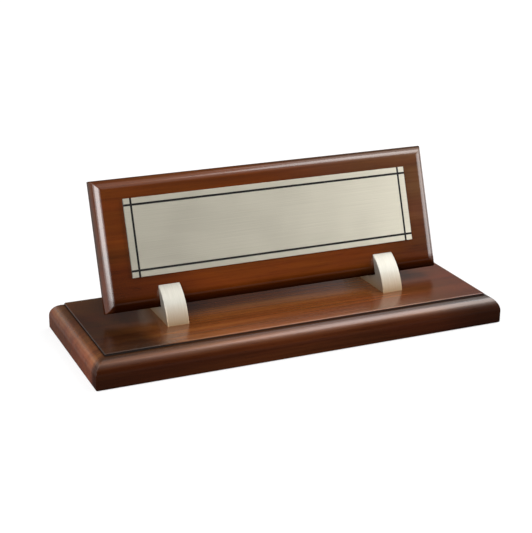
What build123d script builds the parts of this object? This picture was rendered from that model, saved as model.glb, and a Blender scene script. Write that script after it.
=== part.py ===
from build123d import *

import os
from math import asin, cos, degrees, radians, sin, sqrt

# All lengths are millimetres, all angles degrees. +X is to the reader's right,
# +Y runs to the back and +Z up, from the middle of the area that the feet cover.

# Base board: a raised field above a rounded moulding on all four sides
base_length = 282.0
base_depth = 107.0
base_thickness = 19.5
base_edge_round = 10.0
field_inset = 8.5
field_rise = 1.5
field_arris = 0.8
base_bottom_break = 0.5

# Rubber feet, let into the underside
foot_diameter = 12.0
foot_thickness = 2.2
foot_recess = 1.7
foot_inset = 20.0
foot_edge_round = 0.4
foot_clearance = 0.15

# Clips: segments of a brass disc with a slanted slot for the board
clip_radius = 32.5
clip_centre_drop = 7.2
clip_width = 14.4
clip_spacing = 153.0
clip_set_back = 11.8
clip_edge_round = 0.5
slot_lead = 19.2
slot_floor_height = 8.7
slot_clearance = 0.2

# Name board
board_length = 237.0
board_height = 84.0
board_thickness = 10.0
board_front_round = 7.0
board_back_round = 0.6
board_tilt = 20.0

# Name plate, its border lines and the tape behind it
plate_length = 200.0
plate_height = 50.0
plate_thickness = 1.0
plate_centre_height = 45.5
plate_break = 0.15
border_end_inset = 4.9
border_side_inset = 4.25
border_width = 1.4
border_depth = 0.4
enamel_sink = 0.05
tape_length = 190.0
tape_width = 15.0
tape_thickness = 0.8
tape_spacing = 28.0

# Machine screws and washers that hold the clips from below
screw_diameter = 4.0
screw_head_diameter = 8.0
screw_head_height = 2.6
screw_head_round = 1.0
screw_tip_break = 0.5
screw_inset = 8.5
screw_engagement = 6.5
screw_tip_room = 1.0
thread_clearance = 0.05
shank_clearance = 0.25
cross_length = 4.4
cross_width = 1.0
cross_depth = 1.4
washer_rim = 0.5
washer_thickness = 0.8
counterbore_depth = 6.3
counterbore_clearance = 0.5

# One overrun carries every cut past the face that it opens
cut_overrun = 1.0

# Places that follow from the sizes above
base_bottom = foot_thickness - foot_recess
field_top = base_bottom + base_thickness
clip_reach = sqrt(clip_radius**2 - clip_centre_drop**2)
clip_lean = degrees(asin(clip_centre_drop / clip_radius))
washer_diameter = screw_head_diameter + 2 * washer_rim
washer_seat = base_bottom + counterbore_depth
head_seat = washer_seat - washer_thickness
screw_top = field_top + screw_engagement
tapped_depth = screw_engagement + screw_tip_room
tilt_sine = sin(radians(board_tilt))
tilt_cosine = cos(radians(board_tilt))

foot_places = {
    "front_left": (foot_inset - base_length / 2, foot_inset - base_depth / 2),
    "front_right": (base_length / 2 - foot_inset, foot_inset - base_depth / 2),
    "rear_left": (foot_inset - base_length / 2, base_depth / 2 - foot_inset),
    "rear_right": (base_length / 2 - foot_inset, base_depth / 2 - foot_inset),
}
clip_places = {"left": -clip_spacing / 2, "right": clip_spacing / 2}
screw_rows = {
    "front": clip_set_back - clip_reach + screw_inset,
    "rear": clip_set_back + clip_reach - screw_inset,
}
screw_places = {
    f"{side}_{row}": (x, y) for side, x in clip_places.items() for row, y in screw_rows.items()
}

# The board's front face: its origin is the middle of the lower front edge, before
# rounding, its x runs along the board, its y up the board and its z to the reader.
board_front = Plane(
    origin=(0, clip_set_back - slot_lead, field_top + slot_floor_height),
    x_dir=(1, 0, 0),
    z_dir=(0, -tilt_cosine, tilt_sine),
)
plate_back = board_front.offset(tape_thickness)
plate_face = plate_back.offset(plate_thickness)
to_reader = Axis((0, 0, 0), (0, -tilt_cosine, tilt_sine))

os.makedirs("parts", exist_ok=True)


def save(builder, name):
    builder.part.label = name
    export_step(builder.part, f"parts/{name}.step")


# Base board, with counterbored holes for the screws and recesses for the feet
with BuildPart() as base_board:
    with BuildSketch(Plane.XY.offset(base_bottom)):
        Rectangle(base_length, base_depth)
    extrude(amount=base_thickness - field_rise)
    fillet(base_board.faces().sort_by(Axis.Z)[-1].edges(), base_edge_round)
    chamfer(base_board.faces().sort_by(Axis.Z)[0].edges(), base_bottom_break)
    with BuildSketch(Plane.XY.offset(base_bottom)):
        Rectangle(base_length - 2 * field_inset, base_depth - 2 * field_inset)
    extrude(amount=base_thickness)
    fillet(base_board.faces().sort_by(Axis.Z)[-1].edges(), field_arris)
    with BuildSketch(Plane.XY.offset(base_bottom - cut_overrun)):
        with Locations(*screw_places.values()):
            Circle(washer_diameter / 2 + counterbore_clearance)
    extrude(amount=counterbore_depth + cut_overrun, mode=Mode.SUBTRACT)
    with BuildSketch(Plane.XY.offset(base_bottom)):
        with Locations(*screw_places.values()):
            Circle(screw_diameter / 2 + shank_clearance)
    extrude(amount=base_thickness + cut_overrun, mode=Mode.SUBTRACT)
    with BuildSketch(Plane.XY.offset(base_bottom - cut_overrun)):
        with Locations(*foot_places.values()):
            Circle(foot_diameter / 2 + foot_clearance)
    extrude(amount=foot_recess + cut_overrun, mode=Mode.SUBTRACT)
save(base_board, "base_board")


# Rubber feet, each seated on the floor of its recess
def make_foot(place, name):
    with BuildPart() as foot:
        with BuildSketch():
            with Locations(place):
                Circle(foot_diameter / 2)
        extrude(amount=foot_thickness)
        fillet(foot.faces().sort_by(Axis.Z)[0].edges(), foot_edge_round)
    save(foot, name)


for corner, place in foot_places.items():
    make_foot(place, f"{corner}_foot")


# Clips: a segment of a disc on the field, slotted square to the tilted board and tapped from below
def make_clip(x, name):
    side_plane = Plane((x, clip_set_back, field_top), x_dir=(0, 1, 0), z_dir=(1, 0, 0))
    slot_corner = (
        -slot_lead - slot_clearance * tilt_cosine,
        slot_floor_height + slot_clearance * tilt_sine,
    )
    with BuildPart() as clip:
        with BuildSketch(side_plane):
            with BuildLine():
                CenterArc((0, -clip_centre_drop), clip_radius, clip_lean, 180 - 2 * clip_lean)
                Line((-clip_reach, 0), (clip_reach, 0))
            make_face()
            with Locations(slot_corner):
                Rectangle(
                    board_thickness + 2 * slot_clearance,
                    2 * clip_radius,
                    rotation=-board_tilt,
                    align=(Align.MIN, Align.MIN),
                    mode=Mode.SUBTRACT,
                )
        extrude(amount=clip_width / 2, both=True)
        fillet(clip.edges().filter_by(GeomType.CIRCLE), clip_edge_round)
        with BuildSketch(Plane.XY.offset(field_top - cut_overrun)):
            with Locations(*[(x, y) for y in screw_rows.values()]):
                Circle(screw_diameter / 2 + thread_clearance)
        extrude(amount=tapped_depth + cut_overrun, mode=Mode.SUBTRACT)
    save(clip, name)


for side, x in clip_places.items():
    make_clip(x, f"{side}_clip")


# Washers, on the shoulder of each counterbore
def make_washer(place, name):
    with BuildPart() as washer:
        with BuildSketch(Plane.XY.offset(head_seat)):
            with Locations(place):
                Circle(washer_diameter / 2)
                Circle(screw_diameter / 2 + shank_clearance, mode=Mode.SUBTRACT)
        extrude(amount=washer_thickness)
    save(washer, name)


# Pan head screws with a cross recess, heads down
def make_screw(place, name):
    head_bottom = head_seat - screw_head_height
    with BuildPart() as screw:
        with BuildSketch(Plane.XY.offset(head_bottom)):
            with Locations(place):
                Circle(screw_head_diameter / 2)
        extrude(amount=screw_head_height)
        fillet(screw.faces().sort_by(Axis.Z)[0].edges(), screw_head_round)
        with BuildSketch(Plane.XY.offset(head_seat)):
            with Locations(place):
                Circle(screw_diameter / 2)
        extrude(amount=screw_top - head_seat)
        chamfer(screw.faces().sort_by(Axis.Z)[-1].edges(), screw_tip_break)
        with BuildSketch(Plane.XY.offset(head_bottom - cut_overrun)):
            with Locations(place):
                Rectangle(cross_length, cross_width)
                Rectangle(cross_width, cross_length)
        extrude(amount=cross_depth + cut_overrun, mode=Mode.SUBTRACT)
    save(screw, name)


for row, place in screw_places.items():
    make_washer(place, f"{row}_washer")
    make_screw(place, f"{row}_screw")

# Name board, rounded along its front edges so that the corners mitre
with BuildPart() as name_board:
    with BuildSketch(board_front):
        with Locations((0, board_height / 2)):
            Rectangle(board_length, board_height)
    extrude(amount=-board_thickness)
    fillet(name_board.faces().sort_by(to_reader)[-1].edges(), board_front_round)
    fillet(name_board.faces().sort_by(to_reader)[0].edges(), board_back_round)
save(name_board, "name_board")


# Strips of double-sided tape between the board and the plate
def make_tape(centre_height, name):
    with BuildPart() as tape:
        with BuildSketch(board_front):
            with Locations((0, centre_height)):
                Rectangle(tape_length, tape_width)
        extrude(amount=tape_thickness)
    save(tape, name)


make_tape(plate_centre_height + tape_spacing / 2, "tape_upper")
make_tape(plate_centre_height - tape_spacing / 2, "tape_lower")


# Border lines: two along the plate and two across it, each running out at the edges
def sketch_border_lines():
    rise = plate_height / 2 - border_side_inset
    reach = plate_length / 2 - border_end_inset
    with Locations((0, plate_centre_height + rise), (0, plate_centre_height - rise)):
        Rectangle(plate_length, border_width)
    with Locations((reach, plate_centre_height), (-reach, plate_centre_height)):
        Rectangle(border_width, plate_height)


# Name plate, engraved with the border lines
with BuildPart() as name_plate:
    with BuildSketch(plate_back):
        with Locations((0, plate_centre_height)):
            Rectangle(plate_length, plate_height)
    extrude(amount=plate_thickness)
    chamfer(name_plate.faces().sort_by(to_reader)[-1].edges(), plate_break)
    with BuildSketch(plate_face.offset(-border_depth)):
        sketch_border_lines()
    extrude(amount=border_depth + cut_overrun, mode=Mode.SUBTRACT)
save(name_plate, "name_plate")

# Black enamel that fills the engraved lines to just below the plate's face
with BuildPart() as border_enamel:
    with BuildSketch(plate_face.offset(-border_depth)):
        sketch_border_lines()
    extrude(amount=border_depth - enamel_sink)
save(border_enamel, "border_enamel")
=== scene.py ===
import math

import bmesh
import bpy
from mathutils import Matrix, Vector


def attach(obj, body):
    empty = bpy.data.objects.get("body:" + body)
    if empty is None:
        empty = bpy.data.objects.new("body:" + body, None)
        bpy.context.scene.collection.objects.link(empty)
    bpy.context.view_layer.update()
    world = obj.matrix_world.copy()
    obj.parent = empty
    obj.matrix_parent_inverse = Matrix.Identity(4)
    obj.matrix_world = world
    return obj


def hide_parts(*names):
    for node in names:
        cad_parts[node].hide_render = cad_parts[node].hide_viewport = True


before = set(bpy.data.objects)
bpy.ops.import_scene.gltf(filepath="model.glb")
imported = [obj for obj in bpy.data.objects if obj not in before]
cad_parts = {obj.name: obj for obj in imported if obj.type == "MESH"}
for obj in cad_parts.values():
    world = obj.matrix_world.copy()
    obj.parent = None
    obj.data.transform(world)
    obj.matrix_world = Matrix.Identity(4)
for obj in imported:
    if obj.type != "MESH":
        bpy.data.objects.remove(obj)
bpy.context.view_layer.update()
print("frame loaded:", len(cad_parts), "nodes")

# Shapes are drawn in millimetres and scaled to metres when a piece is finished.
millimetre = 0.001
boardTilt = math.radians(20)
boardTurn = math.pi / 2 - boardTilt  # the board's own z runs to the reader
boardOrigin = Vector((0, -7.4, 28.7))  # middle of the lower front edge, before rounding
boardFrame = Matrix.Translation(boardOrigin) @ Matrix.Rotation(boardTurn, 4, "X")

# Places that the base shares with the clips and the feet
clipPlaces = {"left": -76.5, "right": 76.5}
screwRows = (-11.392, 34.992)
footPlaces = {
    "front_left": (-121.0, -33.5), "front_right": (121.0, -33.5),
    "rear_left": (-121.0, 33.5), "rear_right": (121.0, 33.5),
}


# Node helpers: an input takes a value or another node's output
def addNode(tree, kind, inputs=None, **settings):
    made = tree.nodes.new(kind)
    for key, value in settings.items():
        setattr(made, key, value)
    for key, value in (inputs or {}).items():
        if isinstance(value, bpy.types.NodeSocket):
            tree.links.new(value, made.inputs[key])
        else:
            made.inputs[key].default_value = value
    return made


def addRamp(tree, factor, stops):
    ramp = addNode(tree, "ShaderNodeValToRGB", {"Fac": factor})
    points = ramp.color_ramp.elements
    while len(points) < len(stops):
        points.new(0.5)  # each point gets its own place below
    for point, (place, colour) in zip(points, stops):
        point.position = place
        point.color = (*colour, 1)
    return ramp.outputs["Color"]


def addTones(tree, factor, stops):  # a stop is a grey or a colour
    colours = [(place, tone if isinstance(tone, tuple) else (tone,) * 3) for place, tone in stops]
    return addRamp(tree, factor, colours)


def addTwoTone(tree, factor, span, look):  # from a look's dark to its light
    return addRamp(tree, factor, list(zip(span, (look["dark"], look["light"]))))


def addRange(tree, value, fromSpan, toSpan=(0, 1)):
    limits = dict(zip(("From Min", "From Max", "To Min", "To Max"), (*fromSpan, *toSpan)))
    return addNode(tree, "ShaderNodeMapRange", {"Value": value, **limits}).outputs["Result"]


def addMath(tree, operation, first, second):
    return addNode(tree, "ShaderNodeMath", {0: first, 1: second}, operation=operation).outputs[0]


def addVector(tree, operation, inputs, output="Vector"):
    made = addNode(tree, "ShaderNodeVectorMath", inputs, operation=operation)
    return made.outputs[output]


def addNoise(tree, vector, stretch, detail, distortion=0.0):
    spread = addVector(tree, "MULTIPLY", {0: vector, 1: stretch})
    inputs = {"Vector": spread, "Scale": 1, "Detail": detail, "Distortion": distortion}
    return addNode(tree, "ShaderNodeTexNoise", inputs).outputs["Fac"]


def addMix(tree, factor, first, second, blend="MIX"):
    inputs = {0: factor, 6: first, 7: second}  # by number, because the node repeats its names
    return addNode(tree, "ShaderNodeMix", inputs, data_type="RGBA", blend_type=blend).outputs[2]


def newGroup(name, inputs, outputs):
    group = bpy.data.node_groups.new(name, "ShaderNodeTree")
    for label, kind in inputs.items():
        group.interface.new_socket(label, in_out="INPUT", socket_type="NodeSocket" + kind)
    for label in outputs:
        group.interface.new_socket(label, in_out="OUTPUT", socket_type="NodeSocketFloat")
    given = group.nodes.new("NodeGroupInput").outputs
    return group, given, group.nodes.new("NodeGroupOutput").inputs


def useGroup(tree, group, inputs):
    return addNode(tree, "ShaderNodeGroup", node_tree=group, inputs=inputs).outputs


# Wood grain along x: broad figure, narrow streaks, slow clouds of stain and short dark pores
grainShape = {
    "seedStep": (0.31, 0.17, 0.23),
    "figure": {"stretch": (4, 75, 75), "detail": 3, "distortion": 0.9}, "figureShare": 0.6,
    "streaks": {"stretch": (11, 480, 480), "detail": 4, "distortion": 0.3}, "streakShare": 0.4,
    "hue": {"stretch": (7, 38, 38), "detail": 2, "distortion": 0.5},
    "cloud": {"stretch": (6, 9, 9), "detail": 1},
    "pores": {"stretch": (85, 2600, 2600), "detail": 2}, "poreSpan": (0.60, 0.74),
}


def makeGrainGroup():
    sockets = {"Vector": "Vector", "Seed": "Float"}
    tree, given, result = newGroup("woodGrain", sockets, ["Tone", "Hue", "Cloud", "Pores"])
    shift = addVector(tree, "SCALE", {0: grainShape["seedStep"], "Scale": given["Seed"]})
    moved = addVector(tree, "ADD", {0: given["Vector"], 1: shift})
    figure = addNoise(tree, moved, **grainShape["figure"])
    streaks = addNoise(tree, moved, **grainShape["streaks"])
    tone = addMath(tree, "ADD", addMath(tree, "MULTIPLY", figure, grainShape["figureShare"]),
                   addMath(tree, "MULTIPLY", streaks, grainShape["streakShare"]))
    pores = addNoise(tree, moved, **grainShape["pores"])
    tree.links.new(tone, result["Tone"])
    tree.links.new(addNoise(tree, moved, **grainShape["hue"]), result["Hue"])
    tree.links.new(addNoise(tree, moved, **grainShape["cloud"]), result["Cloud"])
    tree.links.new(addRange(tree, pores, grainShape["poreSpan"]), result["Pores"])
    return tree


# Depth along a direction from Low to High, with a ragged line, for painted light and shade on a surface
paintedShadeWander = {"stretch": (30, 60, 60), "detail": 2}
noiseMiddle = 0.5


def makePaintedShadeGroup():
    sockets = {"Vector": "Vector", "Along": "Vector"}
    sockets.update({"Low": "Float", "High": "Float", "Ragged": "Float"})
    tree, given, result = newGroup("edgeToner", sockets, ["Depth"])
    place = addVector(tree, "DOT_PRODUCT", {0: given["Vector"], 1: given["Along"]}, "Value")
    wander = addNoise(tree, given["Vector"], **paintedShadeWander)
    wander = addMath(tree, "SUBTRACT", wander, noiseMiddle)
    place = addMath(tree, "ADD", place, addMath(tree, "MULTIPLY", wander, given["Ragged"]))
    limits = {"Value": place, "From Min": given["Low"], "From Max": given["High"]}
    depth = addNode(tree, "ShaderNodeMapRange", limits).outputs["Result"]
    tree.links.new(depth, result["Depth"])
    return tree


# Fine straight brush lines, with broad soft patches from handling
brushShape = {"lineDetail": 3, "patches": {"stretch": (45, 45, 45), "detail": 2}}


def makeBrushGroup():
    sockets = {"Vector": "Vector", "Stretch": "Vector"}
    tree, given, result = newGroup("brushLines", sockets, ["Lines", "Patches"])
    lines = addNoise(tree, given["Vector"], given["Stretch"], brushShape["lineDetail"])
    patches = addNoise(tree, given["Vector"], **brushShape["patches"])
    tree.links.new(lines, result["Lines"])
    tree.links.new(patches, result["Patches"])
    return tree


woodGrain = makeGrainGroup()
edgeToner = makePaintedShadeGroup()
brushLines = makeBrushGroup()


def newMaterial(name):
    material = bpy.data.materials.new(name)
    material.use_nodes = True
    tree = material.node_tree
    shader = tree.nodes["Principled BSDF"]
    return material, tree, shader, tree.nodes.new("ShaderNodeTexCoord").outputs["Object"]


def addLocal(tree, coords, origin, turn):  # coordinates from a piece's own origin, at its own lean
    inputs = {"Vector": coords, "Location": origin, "Rotation": (turn, 0, 0)}
    return addNode(tree, "ShaderNodeMapping", inputs, vector_type="TEXTURE").outputs["Vector"]


# Depth of one band of painted light or shade along its own direction
def addPaintedShadeDepth(tree, vector, shade):
    inputs = {"Vector": vector, "Along": shade["along"], "Low": shade["low"],
              "High": shade["high"], "Ragged": shade["ragged"]}
    return useGroup(tree, edgeToner, inputs)["Depth"]


def addBump(tree, shader, height, strength, depth):
    inputs = {"Height": height, "Strength": strength, "Distance": depth}
    bump = addNode(tree, "ShaderNodeBump", inputs)
    tree.links.new(bump.outputs["Normal"], shader.inputs["Normal"])


# Lacquered wood: dark red-brown stain under a clear satin coat, with painted light and shade by place in
# the stain and in the coat's weight
def makeLacquer(name, look):
    material, tree, shader, coords = newMaterial(name)
    local = addLocal(tree, coords, look["origin"], look["turn"])
    grain = useGroup(tree, woodGrain, {"Vector": local, "Seed": look["seed"]})
    red = addRamp(tree, grain["Tone"], look["redStain"])
    brown = addRamp(tree, grain["Tone"], look["brownStain"])
    stain = addMix(tree, addRange(tree, grain["Hue"], look["hueSpan"]), red, brown)
    pores = addMath(tree, "MULTIPLY", grain["Pores"], look["poreShade"])
    stain = addMix(tree, pores, stain, look["poreStain"])
    cloud = addRange(tree, grain["Cloud"], look["cloudSpan"], look["cloud"])
    stain = addVector(tree, "SCALE", {0: stain, "Scale": cloud})
    axes = addNode(tree, "ShaderNodeSeparateXYZ", {"Vector": local}).outputs
    coat = (1, 1, 1, 1)
    for shade in look["shades"]:
        depth = addPaintedShadeDepth(tree, local, shade)
        share = 1
        for axis, none, full in shade.get("within", []):
            share = addMath(tree, "MULTIPLY", addRange(tree, axes[axis], (none, full)), share)
        stain = addMix(tree, share, stain, addTones(tree, depth, shade["stops"]), "MULTIPLY")
        if "coat" in shade:
            coat = addMix(tree, share, coat, addTones(tree, depth, shade["coat"]), "MULTIPLY")
    rough = addRange(tree, grain["Tone"], look["toneSpan"], look["rough"])
    tree.links.new(coat, shader.inputs["Coat Weight"])
    tree.links.new(stain, shader.inputs["Base Color"])
    tree.links.new(rough, shader.inputs["Roughness"])
    addBump(tree, shader, grain["Pores"], look["poreBump"], look["poreDepth"])
    shader.inputs["Specular IOR Level"].default_value = look["underGloss"]
    shader.inputs["Coat Roughness"].default_value = look["coatRough"]
    shader.inputs["Coat IOR"].default_value = look["coatIor"]
    return material


# Satin metal with brush lines, and a band of painted light and shade where the look has one
def makeBrushedMetal(name, look):
    material, tree, shader, coords = newMaterial(name)
    local = addLocal(tree, coords, (0, 0, 0), look["turn"])
    brush = useGroup(tree, brushLines, {"Vector": local, "Stretch": look["stretch"]})
    colour = addTwoTone(tree, brush["Lines"], look["lineSpan"], look)
    patches = addRange(tree, brush["Patches"], look["patchSpan"], (0, look["patchShade"]))
    colour = addMix(tree, patches, colour, look["patch"])
    # the look's band of painted light and shade, if it has one
    if "edge" in look:
        colour = addMix(tree, addPaintedShadeDepth(tree, local, look["edge"]), look["edge"]["tone"], colour)
    lineRough = addRange(tree, brush["Lines"], look["lineSpan"], look["rough"])
    patchRough = addRange(tree, brush["Patches"], look["patchSpan"], look["patchRough"])
    tree.links.new(colour, shader.inputs["Base Color"])
    tree.links.new(addMath(tree, "ADD", lineRough, patchRough), shader.inputs["Roughness"])
    addBump(tree, shader, brush["Lines"], look["bump"], look["bumpDepth"])
    shader.inputs["Metallic"].default_value = 1
    return material


# Rubber, enamel and foam: a dull colour with a fine grain
def makeDull(name, look):
    material, tree, shader, coords = newMaterial(name)
    speck = addNoise(tree, coords, (look["grain"],) * 3, look["grainDetail"])
    cloud = addNoise(tree, coords, **look["cloud"])
    mixed = addMath(tree, "ADD", addMath(tree, "MULTIPLY", speck, look["grainShare"]),
                    addMath(tree, "MULTIPLY", cloud, look["cloudShare"]))
    colour = addTwoTone(tree, mixed, look["toneSpan"], look)
    tree.links.new(colour, shader.inputs["Base Color"])
    tree.links.new(addRange(tree, mixed, look["roughSpan"], look["rough"]), shader.inputs["Roughness"])
    addBump(tree, shader, speck, look["bump"], look["bumpDepth"])
    shader.inputs["Specular IOR Level"].default_value = look["specular"]
    return material


# Finish of the base and the board: what they share, then each one's stain and where light and shade are
# painted into it
lacquerLook = {
    "hueSpan": (0.38, 0.62), "cloudSpan": (0.35, 0.65), "cloud": (0.8, 1.15),
    "poreShade": 0.5, "poreStain": (0.012, 0.004, 0.002, 1), "poreBump": 0.15, "poreDepth": -0.0002,
    "toneSpan": (0.3, 0.7), "rough": (0.5, 0.38), "underGloss": 0.0, "coatIor": 1.58,
}
fieldOnly = [("Z", 0.0183, 0.0187)]  # an axis, and where along it a shade comes in
mouldingOnly = [("Z", 0.0187, 0.0183)]
frontOnly = mouldingOnly + [("Y", -0.042, -0.047)]
leftOnly = mouldingOnly + [("X", -0.1315, -0.1335), ("Y", -0.049, -0.043)]
baseLook = {
    **lacquerLook, "origin": (0, 0, 0), "turn": 0, "seed": 3.0, "coatRough": 0.24,
    "redStain": [
        (0.30, (0.103, 0.025, 0.005)), (0.50, (0.172, 0.044, 0.010)), (0.70, (0.235, 0.068, 0.015)),
    ],
    "brownStain": [
        (0.30, (0.094, 0.028, 0.005)), (0.50, (0.157, 0.050, 0.010)), (0.70, (0.214, 0.077, 0.015)),
    ],
    "shades": [
        # Painted shade up the moulding: darker towards its foot, which the light from above reaches
        # less, with less coat there to dull its reflection of the floor
        {"along": (0, 0, 1), "low": 0.009, "high": 0.016, "ragged": 0.001,
         "stops": [(0, (0.27, 0.2, 0.24)), (0.5, (0.33, 0.26, 0.3)), (0.75, (0.43, 0.38, 0.4)),
                   (0.9, 0.7), (1, 1)],
         "coat": [(0, 0.05), (0.5, 0.2), (0.75, 0.5), (0.95, 1)]},
        # Painted shade in the crease where the field rises from the moulding, with less coat there
        {"along": (0, 0, 1), "low": 0.0166, "high": 0.020, "ragged": 0.0002,
         "stops": [(0, 1), (0.3, 0.42), (0.5, 0.25), (0.55, 0.1), (0.8, 0.1), (0.96, 1)],
         "coat": [(0, 1), (0.45, 1), (0.55, 0.25), (0.82, 0.25), (0.96, 1)]},
        # Painted shade, darker towards the left end of the field
        {"along": (1, 0, 0), "low": -0.132, "high": -0.05, "ragged": 0.004, "within": fieldOnly,
         "stops": [(0, 0.55), (0.15, 0.45), (0.33, 0.28), (0.6, 0.66), (1, 1)]},
        # Painted shade, darker towards the front left corner of the field
        {"along": (0.85, 0.53, 0), "low": -0.116, "high": -0.096, "ragged": 0.003,
         "within": fieldOnly, "stops": [(0, 0.33), (0.5, 0.45), (1, 1)]},
        # Painted shade, darker towards the right end of the field and with less green there
        {"along": (-1, 0, 0), "low": -0.1325, "high": -0.07, "ragged": 0.004, "within": fieldOnly,
         "stops": [(0, (0.66, 0.46, 0.66)), (1, 1)]},
        # Painted shade, darker towards the left part of the front moulding
        {"along": (1, 0, 0), "low": -0.141, "high": -0.03, "ragged": 0.004, "within": frontOnly,
         "stops": [(0, 0.45), (0.45, 0.6), (1, 1)]},
        # Painted shade, darker towards the right end of the moulding
        {"along": (-1, 0, 0), "low": -0.141, "high": -0.09, "ragged": 0.004, "within": mouldingOnly,
         "stops": [(0, 0.45), (0.35, 0.48), (0.7, 0.7), (1, 1)]},
        # Painted light up the left moulding: lighter low on its round, where the light from the left
        # falls, darker higher up and lighter again at the crease, with more coat low down
        {"along": (0, 0, 1), "low": 0.0105, "high": 0.0185, "ragged": 0.0003, "within": leftOnly,
         "stops": [(0, 1.9), (0.25, 2.2), (0.37, 2.4), (0.49, 2.0), (0.59, 1.5), (0.68, 0.75),
                   (0.84, 0.72), (0.97, 1.7)],
         "coat": [(0, 2.2), (0.14, 1.4), (0.5, 1.25), (0.8, 1)]},
    ],
}
boardLook = {
    **lacquerLook, "origin": boardOrigin * millimetre, "turn": boardTurn, "seed": 11.0,
    "coatRough": 0.16,
    "redStain": [
        (0.30, (0.071, 0.012, 0.0008)), (0.50, (0.122, 0.022, 0.0015)), (0.70, (0.168, 0.035, 0.003)),
    ],
    "brownStain": [
        (0.30, (0.065, 0.014, 0.0008)), (0.50, (0.111, 0.026, 0.0015)), (0.70, (0.154, 0.041, 0.003)),
    ],
    "shades": [
        # Painted shade round the board's sides, darker and with less coat towards the back
        {"along": (0, 0, 1), "low": -0.0075, "high": -0.001, "ragged": 0.001,
         "stops": [(0, 0.38), (1, 1)], "coat": [(0, 0.2), (1, 1)]},
        # Painted shade on the lower edge, which faces down away from the light, all but its left tip,
        # with less coat there
        {"along": (0, 1, 0), "low": 0.003, "high": 0.0095, "ragged": 0.0015,
         "within": [("X", -0.1165, -0.1125)],
         "stops": [(0, 0.3), (0.45, 0.55), (1, 1)], "coat": [(0, 0.05), (0.6, 0.2), (1, 1)]},
        # Painted shade on the lower left of the front face
        {"along": (0.45, 0.89, 0), "low": -0.046, "high": -0.008, "ragged": 0.006,
         "within": [("Z", -0.004, -0.0005)],
         "stops": [(0, 0.35), (0.35, 0.52), (0.75, 0.72), (1, 1)]},
        # Painted shade, darker towards the left end
        {"along": (1, 0, 0), "low": -0.115, "high": -0.05, "ragged": 0.006,
         "stops": [(0, 0.66), (1, 1)]},
        # Painted sheen on the upper right: greyer and duller, as a broad reflection leaves it
        {"along": (0.5, 0.87, 0), "low": 0.06, "high": 0.088, "ragged": 0.004,
         "stops": [(0, 1), (1, (0.7, 1.18, 6))]},
        # Painted shade on the lower right, near the right clip
        {"along": (0.6, -0.8, 0), "low": 0.03, "high": 0.05, "ragged": 0.003,
         "stops": [(0, 1), (1, 0.66)]},
    ],
}

# Finish of the clips, the plate, the screws and the washers
metalLook = {
    "lineSpan": (0.3, 0.7), "patchSpan": (0.35, 0.65), "patchRough": (0, 0.02), "bumpDepth": 0.0001,
}
brassLook = {
    **metalLook, "turn": 0, "stretch": (3200, 90, 90), "rough": (0.62, 0.54), "bump": 0.04,
    "dark": (0.472, 0.455, 0.40), "light": (0.545, 0.527, 0.47),
    "patch": (0.502, 0.485, 0.425, 1), "patchShade": 0.5,
    "edge": {"along": (0, 0, 1), "low": 0.019, "high": 0.033, "ragged": 0.002,
             "tone": (0.43, 0.285, 0.155, 1)},  # painted reflection of the brown wood: deeper gold near the foot
}
plateLook = {
    **metalLook, "turn": boardTurn, "stretch": (22, 3600, 3600), "rough": (0.44, 0.38), "bump": 0.05,
    "dark": (0.605, 0.57, 0.465), "light": (0.70, 0.66, 0.545),
    "patch": (0.645, 0.61, 0.50, 1), "patchShade": 0.15,
    "edge": {"along": (1, 0, 0), "low": -0.09985, "high": -0.0997, "ragged": 0.0,
             "tone": (0.16, 0.15, 0.12, 1)},  # painted shade on the plate's left edge, which the left lamps light
}
zincLook = {
    **metalLook, "turn": 0, "stretch": (700, 700, 700), "rough": (0.42, 0.30), "bump": 0.08,
    "dark": (0.55, 0.57, 0.60), "light": (0.70, 0.72, 0.74),
    "patch": (0.62, 0.60, 0.52, 1), "patchShade": 0.6,
}

# Finish of the border lines, the feet and the tape
dullLook = {
    "grainDetail": 3, "cloud": {"stretch": (80, 80, 80), "detail": 2}, "grainShare": 0.6,
    "cloudShare": 0.4, "toneSpan": (0.35, 0.65), "roughSpan": (0.3, 0.7), "bumpDepth": 0.0001,
}
enamelLook = {
    **dullLook, "grain": 2500, "dark": (0.006, 0.006, 0.006), "light": (0.016, 0.015, 0.014),
    "rough": (0.55, 0.45), "bump": 0.04, "specular": 0.12,
}
rubberLook = {
    **dullLook, "grain": 3000, "dark": (0.014, 0.014, 0.014), "light": (0.032, 0.031, 0.030),
    "rough": (0.85, 0.65), "bump": 0.3, "specular": 0.3,
}
foamLook = {
    **dullLook, "grain": 4000, "dark": (0.42, 0.41, 0.39), "light": (0.60, 0.59, 0.56),
    "rough": (0.95, 0.85), "bump": 0.5, "specular": 0.2,
}

baseLacquer = makeLacquer("baseLacquer", baseLook)
boardLacquer = makeLacquer("boardLacquer", boardLook)
clipBrass = makeBrushedMetal("clipBrass", brassLook)
plateMetal = makeBrushedMetal("plateMetal", plateLook)
zincSteel = makeBrushedMetal("zincSteel", zincLook)
blackEnamel = makeDull("blackEnamel", enamelLook)
footRubber = makeDull("footRubber", rubberLook)
foamTape = makeDull("foamTape", foamLook)
print("materials made:", len(bpy.data.materials))

# Mesh helpers
holeSides = 48  # corners round each drilled hole
areaWeight = 1e-6  # settles which of two level faces is taken
sharpAngle = math.radians(28)  # edges that turn further than this stay crisp


def vertsOf(geometry):
    return [part for part in geometry if isinstance(part, bmesh.types.BMVert)]


def edgesAt(verts):  # each edge once, in a fixed order
    return list(dict.fromkeys(edge for vert in verts for edge in vert.link_edges))


def extrudeLoop(bm, edges):
    verts = vertsOf(bmesh.ops.extrude_edge_only(bm, edges=edges)["geom"])
    links = edgesAt(verts)
    rim = [edge for edge in links if edge.verts[0] in verts and edge.verts[1] in verts]
    return verts, rim, [edge for edge in links if edge not in rim]


def arcSteps(centre, radius, first, last, steps):
    inset, height = centre
    angles = [math.radians(first + (last - first) * step / steps) for step in range(steps + 1)]
    return [(inset - radius * math.cos(turn), height + radius * math.sin(turn)) for turn in angles]


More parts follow.
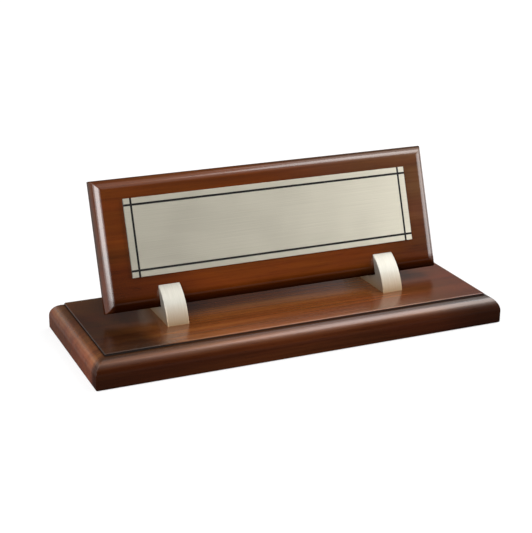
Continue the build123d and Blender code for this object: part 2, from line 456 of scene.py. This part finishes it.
# A flat start face, then a ring for each (inset, height) of the profile; gives back the mitre lines too
def mouldBlock(halfX, halfY, profile):
    bm = bmesh.new()
    inset, height = profile[0]
    bmesh.ops.create_grid(bm, x_segments=1, y_segments=1, size=1)
    bmesh.ops.scale(bm, vec=(halfX - inset, halfY - inset, 1), verts=bm.verts)
    bmesh.ops.translate(bm, vec=(0, 0, height), verts=bm.verts)
    rim, mitres = bm.edges[:], []
    for nextInset, nextHeight in profile[1:]:
        verts, rim, sides = extrudeLoop(bm, rim)
        stretch = ((halfX - nextInset) / (halfX - inset), (halfY - nextInset) / (halfY - inset), 1)
        bmesh.ops.scale(bm, vec=stretch, verts=verts)
        bmesh.ops.translate(bm, vec=(0, 0, nextHeight - height), verts=verts)
        mitres += sides
        inset, height = nextInset, nextHeight
    bmesh.ops.edgeloop_fill(bm, edges=rim)
    bmesh.ops.recalc_face_normals(bm, faces=bm.faces)
    return bm, mitres


def softenEdges(bm, edges, width, segments):
    bmesh.ops.bevel(bm, geom=edges, offset=width, segments=segments, profile=0.5, affect="EDGES",
                    material=-1, clamp_overlap=True)


# Swaps a level face for one with round openings, and gives back the edges of each opening
def openFace(bm, face, places, radii):
    outline, height = face.edges[:], face.calc_center_median().z
    bmesh.ops.delete(bm, geom=[face], context="FACES_ONLY")
    rims = []
    for (x, y), radius in zip(places, radii):
        spot = Matrix.Translation((x, y, height))
        ring = bmesh.ops.create_circle(bm, segments=holeSides, radius=radius, matrix=spot)
        rims.append(edgesAt(ring["verts"]))
    bmesh.ops.triangle_fill(bm, edges=outline + sum(rims, []), use_beauty=True)
    return rims


# Carries a round rim up or down, and widens or narrows it
def sinkRim(bm, rim, rise, widen=1.0):
    verts, deeper = extrudeLoop(bm, rim)[:2]
    middle = sum((vert.co for vert in verts), Vector()) / len(verts)
    bmesh.ops.scale(bm, vec=(widen, widen, 1), space=Matrix.Translation(-middle), verts=verts)
    bmesh.ops.translate(bm, vec=(0, 0, rise), verts=verts)
    return deeper


def levelFace(bm, way):  # the lowest face for a way of -1, the highest for 1
    def rank(face):
        return face.calc_center_median().z * way + face.calc_area() * areaWeight
    return max(bm.faces, key=rank)


def addObject(name, data):
    made = bpy.data.objects.new(name, data)
    bpy.context.scene.collection.objects.link(made)
    return made


def addMeshObject(name, bm, material):
    mesh = bpy.data.meshes.new(name)
    bm.to_mesh(mesh)
    bm.free()
    mesh.materials.append(material)
    return addObject(name, mesh)


def finishPiece(name, bm, place, material, body, node):
    bmesh.ops.transform(bm, matrix=Matrix.Scale(millimetre, 4) @ place, verts=bm.verts)
    bmesh.ops.recalc_face_normals(bm, faces=bm.faces)
    for face in bm.faces:
        face.smooth = True
    for edge in bm.edges:
        edge.smooth = edge.calc_face_angle(0) < sharpAngle
    piece = addMeshObject(name, bm, material)
    piece.modifiers.new("levelFaces", "WEIGHTED_NORMAL").keep_sharp = True
    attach(piece, body)
    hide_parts(node)


# Base board: raised field above a rounded moulding, drilled from below
base = {
    "halfLength": 141.0, "halfDepth": 53.5, "bottom": 0.5, "bottomBreak": 0.5,
    "shoulder": 8.5, "edgeRound": 10.0, "roundSteps": 16, "mitreSoft": 0.5, "mitreSteps": 4,
    "fieldInset": 8.5, "fieldTop": 20.0, "arris": 0.8, "arrisSteps": 5,
    "boreRadius": 5.0, "boreDepth": 6.3, "shankRadius": 2.25, "recessRadius": 6.15, "recessDepth": 1.7,
}


def makeBase():
    edgeRound, arris, inset = base["edgeRound"], base["arris"], base["fieldInset"]
    roundEnd = math.degrees(math.acos(1 - inset / edgeRound))  # where the round meets the field's side
    arrisCentre = (inset + arris, base["fieldTop"] - arris)
    profile = [(base["bottomBreak"], base["bottom"]), (0, base["bottom"] + base["bottomBreak"])]
    profile += arcSteps((edgeRound, base["shoulder"]), edgeRound, 0, roundEnd, base["roundSteps"])
    profile += arcSteps(arrisCentre, arris, 0, 90, base["arrisSteps"])
    bm, mitres = mouldBlock(base["halfLength"], base["halfDepth"], profile)
    softenEdges(bm, mitres, base["mitreSoft"], base["mitreSteps"])
    screws = [(x, y) for x in clipPlaces.values() for y in screwRows]
    feet = sorted(footPlaces.values())
    lowRadii = [base["boreRadius"]] * len(screws) + [base["recessRadius"]] * len(feet)
    lowRims = openFace(bm, levelFace(bm, -1), screws + feet, lowRadii)
    topRims = openFace(bm, levelFace(bm, 1), screws, [base["shankRadius"]] * len(screws))
    for low, top in zip(lowRims, topRims):
        shoulder = sinkRim(bm, low, base["boreDepth"])
        shank = sinkRim(bm, shoulder, 0, base["shankRadius"] / base["boreRadius"])
        bmesh.ops.bridge_loops(bm, edges=shank + top)
    for recess in lowRims[len(screws):]:
        bmesh.ops.edgeloop_fill(bm, edges=sinkRim(bm, recess, base["recessDepth"]))
    finishPiece("mouldedBase", bm, Matrix(), baseLacquer, "stand", "base_board")


makeBase()
print("base board made")

# Name board: rounded front edges with mitred corners, eased at the back
board = {
    "halfLength": 118.5, "halfHeight": 42.0, "thickness": 10.0, "frontRound": 7.0, "frontSteps": 14,
    "backRound": 0.6, "backSteps": 3, "mitreSoft": 0.5, "mitreSteps": 4,
}


def makeBoard():
    front, back = board["frontRound"], board["backRound"]
    profile = arcSteps((back, back - board["thickness"]), back, -90, 0, board["backSteps"])
    profile += arcSteps((front, -front), front, 0, 90, board["frontSteps"])
    bm, mitres = mouldBlock(board["halfLength"], board["halfHeight"], profile)
    softenEdges(bm, mitres, board["mitreSoft"], board["mitreSteps"])
    place = boardFrame @ Matrix.Translation((0, board["halfHeight"], 0))
    finishPiece("tiltedBoard", bm, place, boardLacquer, "board", "name_board")


makeBoard()
print("name board made")

# Clips: segments of a disc with a slanted slot, tapped from below
clip = {
    "radius": 32.5, "centre": Vector((0, -7.2, 0)), "arcSides": 220, "width": 14.4, "setBack": 11.8,
    "edgeRound": 0.5, "edgeSteps": 4, "slotCorner": Vector((-19.388, 8.768, 0)), "slotWidth": 10.4,
    "tapRadius": 2.05, "tapDepth": 7.5,
    "tolerance": 0.01, "footEnd": 2.0, "longestArcEdge": 5.0,  # these pick edges out, and shape nothing
}
slotAcross = Vector((math.cos(boardTilt), -math.sin(boardTilt), 0))
slotUp = Vector((math.sin(boardTilt), math.cos(boardTilt), 0))


# The side of a clip, in x and y: cut along its foot and along the three walls of the slot
def drawClipSide():
    bm = bmesh.new()
    bmesh.ops.create_circle(bm, cap_ends=True, segments=clip["arcSides"], radius=clip["radius"],
                            matrix=Matrix.Translation(clip["centre"]))
    corner = clip["slotCorner"]
    cuts = [(Vector(), Vector((0, -1, 0)), True), (corner, slotAcross, False), (corner, slotUp, False),
            (corner + slotAcross * clip["slotWidth"], slotAcross, False)]
    for point, normal, clear in cuts:
        everything = bm.verts[:] + bm.edges[:] + bm.faces[:]
        bmesh.ops.bisect_plane(bm, geom=everything, plane_co=point, plane_no=normal, clear_outer=clear)
    slot = []
    for face in bm.faces:
        middle = face.calc_center_median() - corner
        if 0 < middle.dot(slotAcross) < clip["slotWidth"] and middle.dot(slotUp) > 0:
            slot.append(face)
    bmesh.ops.delete(bm, geom=slot, context="FACES")
    bmesh.ops.dissolve_faces(bm, faces=bm.faces[:])
    reach = clip["radius"] - clip["footEnd"]
    footLine = [v for v in bm.verts if abs(v.co.y) < clip["tolerance"] and abs(v.co.x) < reach]
    bmesh.ops.dissolve_verts(bm, verts=footLine)  # the cuts leave points along the foot
    return bm


def onArc(edge):
    gaps = [(vert.co - clip["centre"]).xy.length - clip["radius"] for vert in edge.verts]
    short = edge.calc_length() < clip["longestArcEdge"]  # leaves out the foot, whose ends are on the arc
    return short and all(abs(gap) < clip["tolerance"] for gap in gaps)


def makeClip(side, x):
    bm = drawClipSide()
    grown = bmesh.ops.extrude_face_region(bm, geom=bm.faces[:])["geom"]
    bmesh.ops.translate(bm, vec=(0, 0, clip["width"]), verts=vertsOf(grown))
    bmesh.ops.recalc_face_normals(bm, faces=bm.faces)
    flanks = sorted(bm.faces, key=lambda face: len(face.verts))[-2:]  # the two with the most corners
    arcs = [edge for face in flanks for edge in face.edges if onArc(edge)]
    softenEdges(bm, arcs, clip["edgeRound"], clip["edgeSteps"])
    stand = Matrix((
        (0, 0, 1, x - clip["width"] / 2),
        (1, 0, 0, clip["setBack"]),
        (0, 1, 0, base["fieldTop"]),
        (0, 0, 0, 1),
    ))
    bmesh.ops.transform(bm, matrix=stand, verts=bm.verts)
    taps = [(x, y) for y in screwRows]
    under = min(bm.faces, key=lambda face: face.calc_center_median().z)
    for rim in openFace(bm, under, taps, [clip["tapRadius"]] * len(taps)):
        bmesh.ops.edgeloop_fill(bm, edges=sinkRim(bm, rim, clip["tapDepth"]))
    finishPiece(side + "SlottedClip", bm, Matrix(), clipBrass, "stand", side + "_clip")


for side, x in clipPlaces.items():
    makeClip(side, x)
print("clips made")

# Rubber feet: a moulded ring round a shallow dish
foot = {
    "radius": 6.0, "height": 2.2, "sides": 48, "edgeRound": 0.4, "edgeSteps": 4,
    "ringWidth": 2.2, "dishDepth": 0.5, "dishSlope": 0.5,
}


def makeFoot(corner, x, y):
    bm = bmesh.new()
    outer, height, edgeRound = foot["radius"], foot["height"], foot["edgeRound"]
    ring = bmesh.ops.create_circle(bm, cap_ends=True, segments=foot["sides"], radius=outer,
                                   matrix=Matrix.Translation((0, 0, height)))
    rim = edgesAt(ring["verts"])
    inner = outer - foot["ringWidth"]
    corners = arcSteps((edgeRound, 0), edgeRound, 0, 90, foot["edgeSteps"])
    profile = [(foot["radius"] - inset, edgeRound - rise) for inset, rise in corners]
    profile += [(inner, 0), (inner - foot["dishSlope"], foot["dishDepth"])]
    for radius, level in profile:
        rim = sinkRim(bm, rim, level - height, radius / outer)
        outer, height = radius, level
    bmesh.ops.edgeloop_fill(bm, edges=rim)
    place = Matrix.Translation((x, y, 0))
    finishPiece(corner + "Foot", bm, place, footRubber, "stand", corner + "_foot")


for corner, (x, y) in footPlaces.items():
    makeFoot(corner, x, y)
print("feet made")

# Nodes that keep their own shape take their finish here
finishes = {
    "name_plate": plateMetal, "border_enamel": blackEnamel,
    "tape_upper": foamTape, "tape_lower": foamTape,
}
for spot in ("left_front", "left_rear", "right_front", "right_rear"):
    finishes[spot + "_screw"] = zincSteel
    finishes[spot + "_washer"] = zincSteel
for name, material in finishes.items():
    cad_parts[name].data.materials.clear()
    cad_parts[name].data.materials.append(material)
print("finishes set on", len(finishes), "nodes")

# Floor: pale, lifted to white for what looks straight at it or mirrors it, and it keeps the shadow
floorLook = {
    "size": 400.0, "colour": (0.32, 0.32, 0.32, 1), "rough": 0.9, "gloss": 0.0,
    "glow": (1, 1, 1, 1), "liftSpan": (0.2, 1.2), "lift": (0.68, 0.88),
}


def makeFloor():
    material, tree, shader, coords = newMaterial("paleFloor")
    shader.inputs["Base Color"].default_value = floorLook["colour"]
    shader.inputs["Roughness"].default_value = floorLook["rough"]
    shader.inputs["Specular IOR Level"].default_value = floorLook["gloss"]
    shader.inputs["Emission Color"].default_value = floorLook["glow"]
    rays = tree.nodes.new("ShaderNodeLightPath").outputs
    seen = addMath(tree, "MAXIMUM", rays["Is Glossy Ray"], rays["Is Transmission Ray"])
    seen = addMath(tree, "MAXIMUM", rays["Is Camera Ray"], seen)
    away = addVector(tree, "LENGTH", {0: coords}, "Value")
    lift = addRange(tree, away, floorLook["liftSpan"], floorLook["lift"])
    tree.links.new(addMath(tree, "MULTIPLY", seen, lift), shader.inputs["Emission Strength"])
    bm = bmesh.new()
    bmesh.ops.create_grid(bm, x_segments=1, y_segments=1, size=floorLook["size"])
    floor = addMeshObject("studioFloor", bm, material)


makeFloor()
print("floor laid")

# Lamps: the azimuth and elevation of each softbox, its sides and how bright its face is
lampAim = Vector((0, 0, 0.04))
softboxes = {
    "rightUpper": {"way": (72, 54), "roll": 0, "distance": 2.0, "size": (1.00, 0.92), "face": 5.5},
    "rightLower": {"way": (70, 20), "roll": 0, "distance": 1.3, "size": (1.09, 0.91), "face": 3.0},
    "rightLow": {"way": (62, 9), "roll": 0, "distance": 1.3, "size": (1.04, 0.39), "face": 2.2},
    "leftStrip": {"way": (-55, 17), "roll": 10, "distance": 1.0, "size": (0.69, 0.24), "face": 8.0},
    "leftWide": {"way": (-56, 15), "roll": 10, "distance": 1.0, "size": (1.30, 0.30), "face": 3.5},
    "leftFill": {"way": (-97, 40), "roll": 0, "distance": 1.0, "size": (1.10, 0.70), "face": 2.1},
    "backBox": {"way": (108, 55), "roll": 0, "distance": 1.0, "size": (0.60, 0.46), "face": 1.5},
    "leftBack": {"way": (-155, 8), "roll": 0, "distance": 1.0, "size": (0.50, 0.30), "face": 0.6},
    "rightBack": {"way": (132, 20), "roll": 0, "distance": 1.2, "size": (0.90, 0.50), "face": 0.18},
}
ceilingLook = {"way": (0, 70), "roll": 0, "distance": 1.0, "spread": 70, "level": 0.2}


def placeLamp(name, lamp, look):
    azimuth, elevation, roll = (math.radians(angle) for angle in (*look["way"], look["roll"]))
    level = math.cos(elevation)
    way = Vector((math.sin(azimuth) * level, -math.cos(azimuth) * level, math.sin(elevation)))
    turn = way.to_track_quat("Z", "Y").to_matrix().to_4x4() @ Matrix.Rotation(roll, 4, "Z")
    holder = addObject(name, lamp)
    holder.matrix_world = Matrix.Translation(lampAim + way * look["distance"]) @ turn
    holder.visible_camera = False


for name, box in softboxes.items():
    lamp = bpy.data.lights.new(name, "AREA")
    lamp.shape = "RECTANGLE"
    lamp.size, lamp.size_y = box["size"]
    lamp.energy = box["face"] * math.pi * lamp.size * lamp.size_y
    placeLamp(name, lamp, box)

ceiling = bpy.data.lights.new("ceilingGlow", "SUN")  # broad even light from above
ceiling.energy = ceilingLook["level"] * math.pi
ceiling.angle = math.radians(ceilingLook["spread"])
placeLamp("ceilingGlow", ceiling, ceilingLook)

# Room: grey walls, a little lighter overhead
roomLook = {"wall": (0.04, 0.04, 0.043, 1), "top": (0.20, 0.20, 0.20, 1), "topSpan": (0.1, 0.9)}
world = bpy.data.worlds.new("studioRoom")
bpy.context.scene.world = world
world.use_nodes = True
tree = world.node_tree
outward = tree.nodes.new("ShaderNodeTexCoord").outputs["Generated"]
upward = addNode(tree, "ShaderNodeSeparateXYZ", {"Vector": outward}).outputs["Z"]
walls = addMix(tree, addRange(tree, upward, roomLook["topSpan"]), roomLook["wall"], roomLook["top"])
tree.links.new(walls, tree.nodes["Background"].inputs["Color"])
print("studio lit")

# Camera at the photograph's viewing angle
view = {
    "azimuth": -23.918, "elevation": 20.106, "roll": 0.566, "distance": 860.18,
    "aim": Vector((-6.60, 3.56, 41.59)), "lens": 88.31, "sensor": 36.0,
}
turn = Matrix.Rotation(math.radians(view["azimuth"]), 4, "Z")
turn = turn @ Matrix.Rotation(math.radians(90 - view["elevation"]), 4, "X")
turn = turn @ Matrix.Rotation(math.radians(view["roll"]), 4, "Z")
eye = (view["aim"] + turn.col[2].xyz * view["distance"]) * millimetre
lens = bpy.data.cameras.new("photoCamera")
lens.lens = view["lens"]
lens.sensor_width = view["sensor"]
camera = addObject("photoCamera", lens)
camera.matrix_world = Matrix.Translation(eye) @ turn
bpy.context.scene.camera = camera
bpy.context.scene.view_settings.view_transform = "Standard"
print("camera set")
